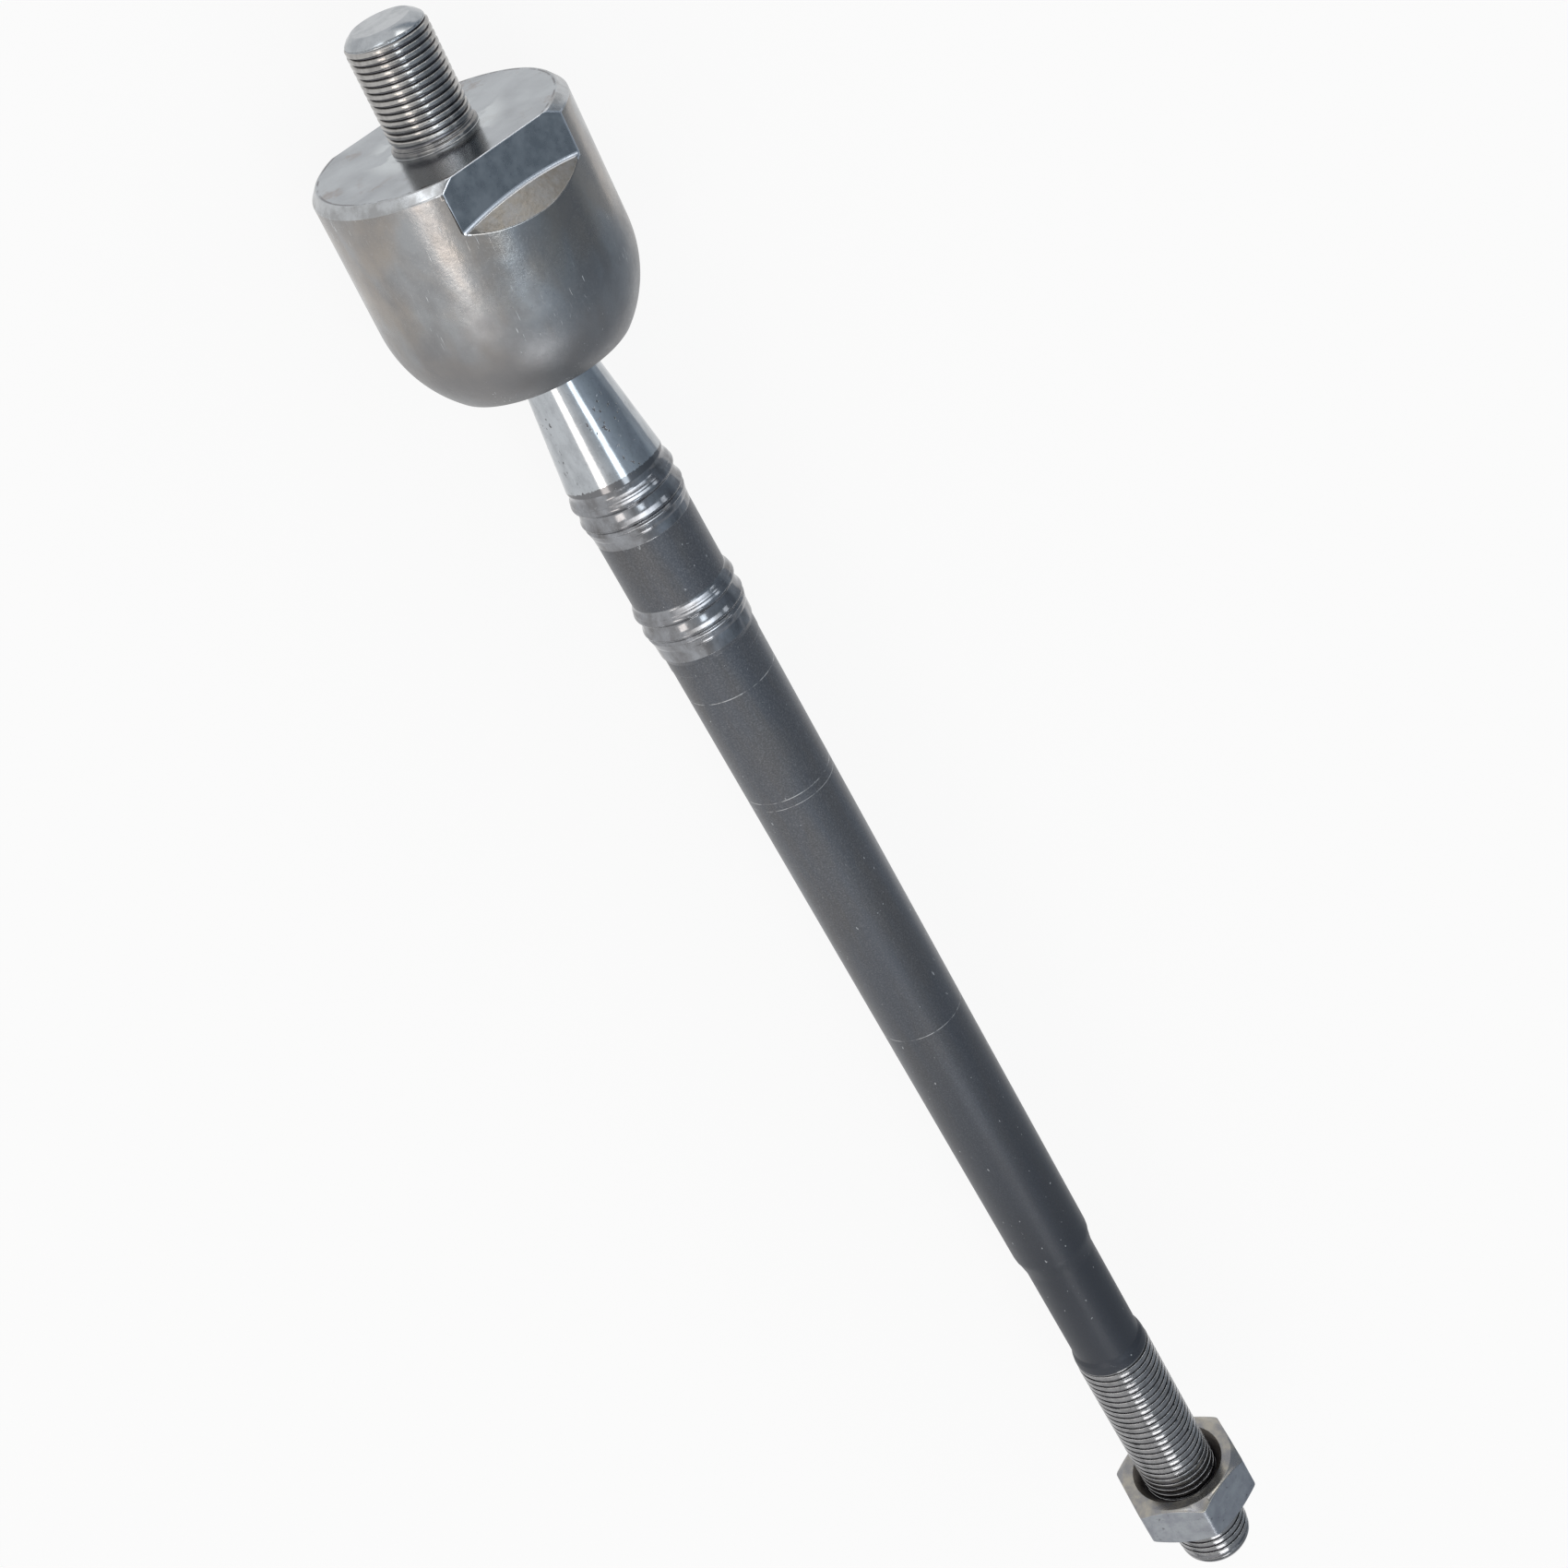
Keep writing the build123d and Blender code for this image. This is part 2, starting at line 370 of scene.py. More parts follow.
def thread_sizes(core_r, depth, pitch, turns, crest, rounding, run_out):
    """The winding's inputs. Crest width and rounding are given in pitches."""
    return {
        "Core Radius": core_r * MM,
        "Pitch": pitch * MM,
        "Turns": turns,
        "Depth": depth * RIDGE_DEPTH * MM,
        "Root Width": pitch * MM,
        "Crest Width": crest * pitch * MM,
        "Rounding": rounding * pitch * MM,
        "Run Out Turns": run_out,
        "Steps Per Turn": TURN_STEPS,
    }


def wound_thread(name, tree, sizes, finish, place):
    """One thread as a plain mesh. place takes the helix from its own Z axis to the part."""
    holder = in_scene(bpy.data.objects.new(name + "_winding", bpy.data.meshes.new(name)))
    winding = holder.modifiers.new("Thread", "NODES")
    winding.node_group = tree
    sockets = {s.name: s.identifier for s in tree.interface.items_tree if s.in_out == "INPUT"}
    for label, value in sizes.items():
        winding[sockets[label]] = value
    winding[sockets["Finish"]] = finish
    thread = baked(holder, name)
    thread.data.transform(place)
    turn_outwards(thread.data)
    return thread


# Finishes: every pattern reads Object coordinates, in millimetres along the part


class Finish:
    """A procedural metal: patterns that feed one Principled shader."""

    def __init__(self, name, place=housing_frame, **fixed):
        self.material = bpy.data.materials.new(name)
        self.material.use_nodes = True
        self.nodes = self.material.node_tree.nodes
        self.links = self.material.node_tree.links
        self.shader = self.nodes["Principled BSDF"]
        self.shader.inputs["Metallic"].default_value = 1.0
        for label, value in fixed.items():
            self.shader.inputs[label.replace("_", " ").title()].default_value = value
        coordinates = self.nodes.new("ShaderNodeTexCoord")
        mapping = self.nodes.new("ShaderNodeMapping")
        mapping.vector_type = "TEXTURE"
        mapping.inputs["Location"].default_value = place.translation
        mapping.inputs["Rotation"].default_value = place.to_euler()
        mapping.inputs["Scale"].default_value = (MM, MM, MM)
        self.links.new(coordinates.outputs["Object"], mapping.inputs["Vector"])
        self.spot = mapping.outputs[0]

    def math(self, operation, *values):
        return combined(self.nodes, self.links, operation, *values)

    def stretched(self, along, across):
        """The part's coordinates, drawn out or squeezed along and across its axis."""
        node = self.nodes.new("ShaderNodeMapping")
        self.links.new(self.spot, node.inputs["Vector"])
        node.inputs["Scale"].default_value = (along, across, across)
        return node.outputs[0]

    def noise(self, along, across, detail, rough):
        """Noise from 0 to 1, with that many cells in a millimetre along and across the axis."""
        node = self.nodes.new("ShaderNodeTexNoise")
        self.links.new(self.stretched(along, across), node.inputs["Vector"])
        node.inputs["Scale"].default_value = 1.0
        node.inputs["Detail"].default_value = detail
        node.inputs["Roughness"].default_value = rough
        return node.outputs["Fac"]

    def ranged(self, value, low, high, out_low, out_high, smooth=False):
        """out_low at low, out_high at high, and straight or smooth between."""
        node = self.nodes.new("ShaderNodeMapRange")
        if smooth:
            node.interpolation_type = "SMOOTHSTEP"
        feed(self.links, node.inputs["Value"], value)
        node.inputs["From Min"].default_value = low
        node.inputs["From Max"].default_value = high
        node.inputs["To Min"].default_value = out_low
        node.inputs["To Max"].default_value = out_high
        return node.outputs[0]

    def between(self, value, low, high):
        """0 below low, 1 above high, smooth between."""
        return self.ranged(value, low, high, 0.0, 1.0, smooth=True)

    def tint(self, share, one, two):
        """A colour between one and two. Either may be a colour or another tint."""
        node = self.nodes.new("ShaderNodeMix")
        node.data_type = "RGBA"
        feed(self.links, node.inputs[0], share)
        for socket, value in ((node.inputs[6], one), (node.inputs[7], two)):
            plain = not isinstance(value, bpy.types.NodeSocket)
            feed(self.links, socket, (*value, 1.0) if plain else value)
        return node.outputs[2]

    def axial(self):
        """The station along the part's axis, then the two coordinates across it."""
        node = self.nodes.new("ShaderNodeSeparateXYZ")
        self.links.new(self.spot, node.inputs[0])
        return node.outputs

    def radius(self):
        """How far the shaded point lies from the part's axis."""
        parts = self.axial()
        y = self.math("MULTIPLY", parts[1], parts[1])
        z = self.math("MULTIPLY", parts[2], parts[2])
        return self.math("SQRT", self.math("ADD", y, z))

    def colour(self, value):
        feed(self.links, self.shader.inputs["Base Color"], value)

    def roughness(self, value):
        feed(self.links, self.shader.inputs["Roughness"], value)

    def relief(self, height, depth):
        """Bump of that depth in millimetres, for a height from 0 to 1."""
        node = self.nodes.new("ShaderNodeBump")
        node.inputs["Strength"].default_value = 1.0
        node.inputs["Distance"].default_value = depth * MM
        self.links.new(height, node.inputs["Height"])
        normal = self.shader.inputs["Normal"]
        if normal.is_linked:
            self.links.new(normal.links[0].from_socket, node.inputs["Normal"])
        self.links.new(node.outputs[0], normal)


# Colours of the metals and of the marks on them
COOL_STEEL = (0.315, 0.325, 0.335)
WARM_STEEL = (0.320, 0.295, 0.270)
DARK_STEEL = (0.215, 0.215, 0.220)
RUBBED_STEEL = (0.42, 0.42, 0.42)
DOME_PAINTED_SHADE = (0.19, 0.19, 0.195)
SCRATCH = (0.60, 0.62, 0.63)
FACE_BRIGHT = (0.375, 0.40, 0.425)
FACE_DULL = (0.30, 0.318, 0.34)
SWIRL = (0.50, 0.53, 0.55)
BROWN_STAIN = (0.22, 0.185, 0.17)
RIM_LINE = (0.13, 0.13, 0.14)
MILLED_DARK = (0.235, 0.255, 0.275)
MILLED_PALE = (0.31, 0.33, 0.35)
RAMP_WARM = (0.165, 0.155, 0.14)
RAMP_GREY = (0.21, 0.21, 0.21)
EDGE_BRIGHT = (0.70, 0.72, 0.75)
EDGE_DULL = (0.52, 0.53, 0.56)
BORE_DARK_TONE = (0.06, 0.055, 0.05)
BORE_PALE_TONE = (0.12, 0.115, 0.11)
STUD_CREST = (0.40, 0.39, 0.38)
STUD_ROOT_SHADE = (0.12, 0.12, 0.13)
NECK_BRIGHT = (0.46, 0.485, 0.51)
NECK_DULL = (0.36, 0.38, 0.40)
NECK_SPECK = (0.26, 0.27, 0.29)
NECK_PIT = (0.13, 0.125, 0.13)
NECK_FOOT_SHADE = (0.17, 0.172, 0.18)
COLLAR_BRIGHT = (0.30, 0.31, 0.33)
COLLAR_DARK = (0.155, 0.153, 0.156)
COLLAR_SPECK = (0.40, 0.41, 0.42)
BLUED = (0.086, 0.095, 0.112)
BLUED_WARM = (0.096, 0.096, 0.100)
BLUED_PALE = (0.20, 0.21, 0.23)
BLUED_DARK = (0.055, 0.06, 0.07)
BLUED_END_SHADE = (0.024, 0.029, 0.040)
FLECK = (0.40, 0.42, 0.44)
SCRIBED = (0.46, 0.47, 0.48)
ROD_CREST = (0.265, 0.265, 0.27)
ROD_ROOT_SHADE = (0.20, 0.20, 0.21)
ZINC_PALE = (0.36, 0.38, 0.40)
ZINC_DARK = (0.27, 0.28, 0.31)
ZINC_SPOT = (0.13, 0.13, 0.14)
CORNER_YELLOW = (0.37, 0.35, 0.31)
CORNER_GREY = (0.24, 0.24, 0.25)
MOUTH_DEEP_SHADE = (0.13, 0.122, 0.135)
MOUTH_EDGE = (0.34, 0.31, 0.27)
MOUTH_DIRT = (0.10, 0.09, 0.085)
POLYMER_PALE = (0.70, 0.68, 0.62)
POLYMER_DARK = (0.58, 0.56, 0.50)
SPRING_WARM = (0.22, 0.20, 0.19)
SPRING_COOL = (0.15, 0.15, 0.17)


def mottled(name, grain, tones, rough, spread=None, place=housing_frame, **fixed):
    """Two tones in clouds. spread is the stretch of the noise over which they change."""
    f = Finish(name, place, **fixed)
    cloud = f.noise(*grain)
    f.colour(f.tint(f.between(cloud, *spread) if spread else cloud, *tones))
    f.roughness(f.ranged(cloud, 0.3, 0.7, *rough))
    return f


def wall_finish():
    """Housing wall: satin steel, faintly mottled cool and warm, with small bright scratches and
    painted shade towards the dome.
    """
    f = Finish("housing_wall_steel")
    patches = f.noise(0.06, 0.10, 3.0, 0.55)
    cloud = f.noise(0.16, 0.20, 5.0, 0.6)
    fine = f.noise(2.6, 2.6, 3.0, 0.7)
    scratch = f.noise(0.45, 4.5, 1.0, 0.4)
    where = f.noise(0.10, 0.14, 2.0, 0.5)
    base = f.tint(f.between(patches, 0.40, 0.60), COOL_STEEL, WARM_STEEL)
    base = f.tint(f.ranged(cloud, 0.42, 0.72, 0.0, 0.75), base, DARK_STEEL)
    base = f.tint(f.ranged(fine, 0.55, 0.80, 0.0, 0.35), base, RUBBED_STEEL)
    station = f.axial()[0]
    # Painted shade: the wall darkens towards the dome, along a wavering line
    wavering = f.math("ADD", station, f.ranged(patches, 0.3, 0.7, -4.0, 4.0))
    base = f.tint(f.ranged(wavering, 17.0, 31.0, 0.0, 0.85), base, DOME_PAINTED_SHADE)
    scored = f.math("MULTIPLY", f.between(scratch, 0.70, 0.76), f.between(where, 0.50, 0.62))
    f.colour(f.tint(f.math("MULTIPLY", scored, 0.8), base, SCRATCH))
    dulled = f.ranged(station, 14.0, 26.0, 0.0, 0.17)
    rough = f.math("ADD", f.ranged(cloud, 0.3, 0.75, 0.18, 0.27), dulled)
    f.roughness(f.math("ADD", rough, f.ranged(fine, 0.3, 0.7, -0.05, 0.05)))
    f.relief(f.noise(0.30, 0.30, 3.0, 0.5), 0.05)
    f.relief(fine, 0.012)
    f.relief(scored, 0.02)
    return f.material


def face_finish():
    """Seating face: finely turned, glossy, with brown stains towards its rim."""
    f = Finish("seating_face_steel")
    stain = f.noise(0.22, 0.20, 6.0, 0.65)
    cloud = f.noise(0.25, 0.16, 3.0, 0.55)
    out = f.between(f.radius(), 9.0, 16.0)
    dirt = f.math("MULTIPLY", f.between(stain, 0.56, 0.68), f.ranged(out, 0.0, 1.0, 0.15, 0.85))
    swirl = f.math("SUBTRACT", 1.0, f.between(f.radius(), 8.0, 11.5))
    base = f.tint(f.ranged(cloud, 0.36, 0.70, 0.0, 1.0), FACE_BRIGHT, FACE_DULL)
    base = f.tint(f.math("MULTIPLY", swirl, f.between(cloud, 0.45, 0.55)), base, SWIRL)
    base = f.tint(f.math("MULTIPLY", dirt, 0.75), base, BROWN_STAIN)
    line = f.math("ABSOLUTE", f.math("SUBTRACT", f.radius(), 17.6))
    line = f.math("SUBTRACT", 1.0, f.between(line, 0.05, 0.22))
    worn = f.noise(0.5, 0.35, 3.0, 0.6)
    f.colour(f.tint(f.math("MULTIPLY", line, f.between(worn, 0.40, 0.56)), base, RIM_LINE))
    f.roughness(f.ranged(cloud, 0.3, 0.7, 0.14, 0.26))
    f.relief(f.math("SINE", f.math("MULTIPLY", f.radius(), 26.0)), 0.0012)
    f.relief(cloud, 0.03)
    return f.material


def flat_finish():
    """Wrench flats: milled, bluer than the wall."""
    tones = (MILLED_DARK, MILLED_PALE)
    f = mottled("wrench_flat_steel", (0.4, 0.5, 5.0, 0.65), tones, (0.24, 0.34), (0.35, 0.7))
    f.relief(f.noise(6.0, 0.3, 2.0, 0.5), 0.006)
    return f.material


def ramp_finish():
    """The cutter's run-out behind each flat, warm and dull."""
    tones = (RAMP_WARM, RAMP_GREY)
    f = mottled("cutter_ramp_steel", (0.5, 0.6, 5.0, 0.65), tones, (0.26, 0.36), (0.35, 0.7))
    f.relief(f.noise(1.2, 1.2, 4.0, 0.6), 0.03)
    return f.material


def edge_finish():
    """Edges that are rubbed bright, and the corner between each flat and its ramp brightened as a
    painted highlight.
    """
    tones = (EDGE_BRIGHT, EDGE_DULL)
    return mottled("bright_edge_steel", (1.2, 1.2, 3.0, 0.6), tones, (0.16, 0.30)).material


def plain_finish(name, tones, rough):
    """Bare steel of the housing, between two tones."""
    f = mottled(name, (0.4, 0.4, 4.0, 0.6), tones, rough, (0.38, 0.66))
    f.relief(f.noise(0.7, 0.7, 3.0, 0.55), 0.015)
    return f.material


def bore_finish():
    """Inside of the housing, very dark."""
    tones = (BORE_DARK_TONE, BORE_PALE_TONE)
    return mottled("dark_bore_steel", (0.5, 0.5, 3.0, 0.6), tones, (0.25, 0.45)).material


def thread_finish(name, place, crest_r, root_r, crest, root, rough):
    """Thread: plain steel at the crests, darkening to painted shade at the roots."""
    f = Finish(name, place)
    cloud = f.noise(0.35, 0.6, 4.0, 0.65)
    fine = f.noise(2.5, 2.5, 3.0, 0.7)
    reach = crest_r - root_r
    # Painted shade: the colour darkens from the crests down into the roots
    rubbed = f.between(f.radius(), root_r + 0.05 * reach, root_r + 0.60 * reach)
    dull = tuple(0.72 * c for c in crest)
    base = f.tint(f.between(cloud, 0.4, 0.7), crest, dull)
    f.colour(f.tint(rubbed, root, base))
    f.roughness(f.ranged(fine, 0.3, 0.7, *rough))
    f.relief(fine, 0.02)
    return f.material


def neck_finish():
    """Neck and ball: polished, with dark pits on one side."""
    f = Finish("polished_neck_steel", rod_frame)
    cloud = f.noise(0.25, 0.5, 5.0, 0.6)
    pits = f.noise(1.3, 1.9, 2.0, 0.45)
    where = f.noise(0.14, 0.22, 2.0, 0.5)
    pitted = f.math("MULTIPLY", f.between(pits, 0.655, 0.69), f.between(where, 0.50, 0.60))
    fine = f.noise(2.0, 2.6, 2.0, 0.6)
    base = f.tint(f.between(cloud, 0.35, 0.7), NECK_BRIGHT, NECK_DULL)
    base = f.tint(f.ranged(fine, 0.60, 0.78, 0.0, 0.5), base, NECK_SPECK)
    base = f.tint(pitted, base, NECK_PIT)
    # The bright cone ends short of its foot in a band of painted shade, a little earlier on its
    # upper side
    station, _, height = f.axial()
    edge = f.math("SUBTRACT", 33.45, f.math("MULTIPLY", f.math("MAXIMUM", height, 0.0), 0.13))
    past = f.math("ADD", f.math("SUBTRACT", station, edge), f.ranged(fine, 0.3, 0.7, -0.12, 0.12))
    f.colour(f.tint(f.between(past, -0.06, 0.06), base, NECK_FOOT_SHADE))
    polish = f.ranged(cloud, 0.3, 0.7, 0.11, 0.17)
    f.roughness(f.math("ADD", polish, f.math("MULTIPLY", pitted, 0.3)))
    f.relief(f.noise(0.6, 0.6, 3.0, 0.5), 0.010)
    f.relief(f.math("SUBTRACT", 1.0, pitted), 0.05)
    return f.material


def collar_finish():
    """Collars: rolled and burnished, glossy, bright and dark in patches."""
    f = Finish("burnished_collar_steel", rod_frame)
    cloud = f.noise(0.35, 0.5, 4.0, 0.6)
    fine = f.noise(1.6, 2.0, 3.0, 0.65)
    base = f.tint(f.ranged(cloud, 0.30, 0.72, 0.0, 1.0), COLLAR_BRIGHT, COLLAR_DARK)
    f.colour(f.tint(f.ranged(fine, 0.58, 0.76, 0.0, 0.4), base, COLLAR_SPECK))
    f.roughness(f.ranged(fine, 0.3, 0.7, 0.12, 0.20))
    f.relief(f.noise(0.8, 0.8, 3.0, 0.5), 0.012)
    return f.material


def shank_finish():
    """Shank: slate-blue drawn steel with a fine speckle, a few scribed rings, and painted shade
    towards its far end.
    """
    f = Finish("blued_shank_steel", rod_frame)
    station = f.axial()[0]
    cloud = f.noise(0.04, 0.25, 5.0, 0.6)
    speckle = f.noise(4.0, 4.0, 2.0, 0.7)
    flecks = f.noise(0.9, 1.4, 2.0, 0.5)
    worn = f.noise(0.8, 0.5, 3.0, 0.6)
    base = f.tint(f.between(cloud, 0.35, 0.7), BLUED, BLUED_WARM)
    base = f.tint(f.ranged(speckle, 0.50, 0.78, 0.0, 0.7), base, BLUED_PALE)
    base = f.tint(f.ranged(speckle, 0.48, 0.25, 0.0, 0.6), base, BLUED_DARK)
    # Painted shade: the shank darkens towards its far end
    base = f.tint(f.ranged(station, 110.0, 205.0, 0.0, 0.90), base, BLUED_END_SHADE)
    base = f.tint(f.between(flecks, 0.73, 0.77), base, FLECK)
    for ring, width in SCRIBED_RINGS:
        off = f.math("ABSOLUTE", f.math("SUBTRACT", station, ring))
        line = f.math("SUBTRACT", 1.0, f.between(off, width * 0.4, width))
        base = f.tint(f.math("MULTIPLY", line, f.between(worn, 0.38, 0.6)), base, SCRIBED)
    f.colour(base)
    f.shader.inputs["Metallic"].default_value = 0.55
    f.shader.inputs["Coat Weight"].default_value = 0.2
    f.shader.inputs["Coat Roughness"].default_value = 0.3
    dulled = f.ranged(station, 150.0, 205.0, 0.0, 0.14)
    f.roughness(f.math("ADD", f.ranged(cloud, 0.3, 0.7, 0.36, 0.46), dulled))
    f.relief(speckle, 0.012)
    f.relief(f.noise(3.0, 0.05, 2.0, 0.5), 0.003)
    return f.material


def nut_finish():
    """Jam nut: matte zinc with dark stains."""
    f = Finish("zinc_nut", rod_frame)
    cloud = f.noise(0.35, 0.35, 5.0, 0.65)
    fine = f.noise(2.5, 2.5, 3.0, 0.7)
    spots = f.noise(0.9, 0.9, 3.0, 0.6)
    base = f.tint(f.between(cloud, 0.3, 0.7), ZINC_PALE, ZINC_DARK)
    f.colour(f.tint(f.between(spots, 0.62, 0.74), base, ZINC_SPOT))
    f.roughness(f.ranged(fine, 0.3, 0.7, 0.36, 0.50))
    f.relief(fine, 0.02)
    f.relief(cloud, 0.05)
    return f.material


def nut_edge_finish():
    """The nut's turned corners: brighter, with a yellow-brown passivation tint."""
    grain, tones = (0.3, 0.3, 4.0, 0.6), (CORNER_YELLOW, CORNER_GREY)
    return mottled("zinc_nut_corner", grain, tones, (0.18, 0.30), (0.35, 0.65), rod_frame).material


def nut_sink_finish():
    """The nut's sunk mouths: painted shade deepening into the hole, with dark dirt in clouds."""
    f = Finish("shaded_dirty_nut_mouth", rod_frame)
    cloud = f.noise(0.5, 0.5, 3.0, 0.6)
    # Painted shade: the mouth darkens from its rim down into the hole
    deep = f.ranged(f.radius(), NUT_BORE_R, NUT_SINK_R, 0.0, 1.0)
    base = f.tint(deep, MOUTH_DEEP_SHADE, MOUTH_EDGE)
    f.colour(f.tint(f.ranged(cloud, 0.4, 0.8, 0.0, 0.6), base, MOUTH_DIRT))
    f.roughness(f.ranged(cloud, 0.3, 0.7, 0.3, 0.5))
    return f.material


def seat_finish():
    """Ball seat: milky moulded polymer."""
    tones = (POLYMER_PALE, POLYMER_DARK)
    return mottled("seat_polymer", (0.3, 0.3, 3.0, 0.6), tones, (0.35, 0.5), metallic=0.0).material


def spring_finish():
    """Preload disc: tempered spring steel."""
    tones = (SPRING_WARM, SPRING_COOL)
    return mottled("spring_disc_steel", (0.3, 0.3, 3.0, 0.6), tones, (0.3, 0.4)).material


# Housing with its stud


def flat_cutter(turn):
    """What the milling cutter takes away: a level floor that runs out in a ramp."""
    clear_x, clear_height = -1.5, 1.0
    half_sweep, steps = 14.5, 48
    centre_x = FACE_X + FLAT_LEN + FLAT_CUTTER_R
    turned_about = Matrix.Rotation(math.radians(-turn), 4, "X")
    rings = []
    for rise in (0.0, FLAT_DEPTH + clear_height):
        level = HOUSING_R - FLAT_DEPTH + rise
        radius = FLAT_CUTTER_R - rise * math.tan(math.radians(FLAT_RAMP))
        ring = [(clear_x, -FLAT_HALF_WIDTH, level)]
        for i in range(steps + 1):
            angle = math.radians(-half_sweep + 2 * half_sweep * i / steps)
            ring.append((centre_x - radius * math.cos(angle), radius * math.sin(angle), level))
        ring.append((clear_x, FLAT_HALF_WIDTH, level))
        rings.append(ring)
    count = len(rings[0])
    verts = [turned_about @ Vector(p) * MM for ring in rings for p in ring]
    faces = [tuple(range(count)), tuple(range(count, 2 * count))]
    for k in range(count):
        after = (k + 1) % count
        faces.append((k, after, count + after, count + k))
    return keep_mesh("flat_cutter", verts, faces)


def make_housing():
    """Stud, seating face, domed wall, mouth and bore turned in one, then the flats milled."""
    tip = -STUD_THREAD - STUD_CHAMFER
    ring_foot = (FACE_X, STUD_RING_R + 0.3)
    stud = softened(
        [
            (tip, 0.0),
            (tip, 4.35),
            (tip + 0.55, 5.15),
            (tip + 1.15, 5.72),
            (tip + 1.45, 5.82),
            (tip + 1.75, STUD_CORE_R),
            (-0.7, STUD_CORE_R),
            (-0.42, STUD_R),
            (-0.2, STUD_R),
            (0.0, STUD_RING_R),
            (FACE_X, STUD_RING_R),
            ring_foot,
        ],
        CORNER_CUT,
    )
    rim_r = HOUSING_R - RIM_CHAMFER_R
    out_angle = math.degrees(math.atan2(lip_out[1], lip_out[0]))
    bore_angle = math.degrees(math.atan2(bore_edge[1], bore_edge[0]))
    body = [ring_foot, (FACE_X, 12.0), (FACE_X, rim_r - 0.3), (FACE_X, rim_r)]
    for along in (FACE_X + RIM_CHAMFER_X, FACE_X + 2.2, BALL_X - 4.0):
        body.append((along, HOUSING_R))
    body += arc((BALL_X, 0.0), HOUSING_R, 90.0, out_angle, 26)
    lip_points = [(BALL_X + along, radius) for along, radius in (lip_in, bore_edge)]
    lip = softened([body[-2], body[-1], *lip_points], 0.3)
    inside = arc((BALL_X, 0.0), BORE_R, bore_angle, 90.0, 16)
    inside += [(FLOOR_X, BORE_R), (FLOOR_X, 0.0)]
    outline = stud[:-1] + body[:-1] + lip[1:-1] + inside
    part = turned("housing_turning", outline, 240, housing_frame)
    cutters = [flat_cutter(turn) for turn in FLAT_TURNS]
    for cutter in cutters:
        milling = part.modifiers.new("Milled flat", "BOOLEAN")
        milling.operation = "DIFFERENCE"
        milling.solver = "EXACT"
        milling.object = cutter
    part = baked(part, "housing_shell")
    for cutter in cutters:
        bpy.data.objects.remove(cutter)
    return part


def flat_heading(turn):
    """The way that a flat faces."""
    angle = math.radians(turn)
    return Vector((0.0, math.sin(angle), math.cos(angle)))


def off_flats(spot):
    """How far a point lies from the nearer flat's plane."""
    return min(abs(HOUSING_R - spot.dot(flat_heading(turn)) - FLAT_DEPTH) for turn in FLAT_TURNS)


def round_off(shaper, edges, width, steps):
    """Rounds edges, and gives the new faces the finish of bright edges."""
    bmesh.ops.bevel(
        shaper,
        geom=edges,
        offset=width * MM,
        offset_type="OFFSET",
        segments=steps,
        profile=0.5,
        affect="EDGES",
        clamp_overlap=False,
        material=EDGE,
    )


def break_edges(part, width, root_width):
    """Rounds the housing's outside edges, and the corner where each flat meets its ramp.

    Only the edges of the flats are rubbed bright; the corner between each flat and its ramp gets the
    same bright finish as a painted highlight.
    """
    shaper = bmesh.new()
    shaper.from_mesh(part.data)
    bmesh.ops.remove_doubles(shaper, verts=shaper.verts, dist=0.02 * MM)
    bmesh.ops.dissolve_degenerate(shaper, edges=shaper.edges, dist=0.01 * MM)
    between = {FLAT, RAMP}
    root = [e for e in shaper.edges if {face.material_index for face in e.link_faces} == between]
    # The rounded corner between flat and ramp takes the bright edge finish: a painted highlight
    round_off(shaper, root, root_width, 3)
    sharp = []
    for edge in shaper.edges:
        if len(edge.link_faces) != 2 or edge.calc_face_angle(0.0) < math.radians(SHARP_ANGLE):
            continue
        middle = (edge.verts[0].co + edge.verts[1].co) / 2 / MM
        outside = off_axis(middle) > BORE_R - 0.05 and middle.x < PAST_FLATS_X
        if outside and edge.is_convex:
            sharp.append(edge)
    round_off(shaper, sharp, width, 2)
    for face in shaper.faces:
        middle = face.calc_center_median() / MM
        if face.material_index == EDGE and off_flats(middle) > 0.5:
            at_rim = middle.x < FACE_X + RIM_CHAMFER_X + 0.3
            face.material_index = RIM if at_rim else WALL
    bmesh.ops.recalc_face_normals(shaper, faces=shaper.faces)
    shaper.to_mesh(part.data)
    shaper.free()
    part.data.shade_smooth()


housing_finishes = [
    wall_finish(),
    face_finish(),
    flat_finish(),
    edge_finish(),
    bore_finish(),
    thread_finish(
        "stud_thread_steel", housing_frame, STUD_R, STUD_CORE_R, STUD_CREST, STUD_ROOT_SHADE, (0.09, 0.16)
    ),
    ramp_finish(),
    plain_finish("stud_end_steel", ((0.42, 0.44, 0.46), (0.33, 0.35, 0.37)), (0.14, 0.24)),
    # Painted shade: the stud's foot, where it meets the seating face, is darker than the rest of the
    # stud
    plain_finish("stud_relief_steel", ((0.24, 0.235, 0.23), (0.15, 0.15, 0.155)), (0.16, 0.26)),
    plain_finish("rim_steel", ((0.44, 0.455, 0.47), (0.32, 0.325, 0.33)), (0.20, 0.32)),
]
WALL, FACE, FLAT, EDGE, BORE, STUD, RAMP, TIP_END, RELIEF, RIM = range(10)


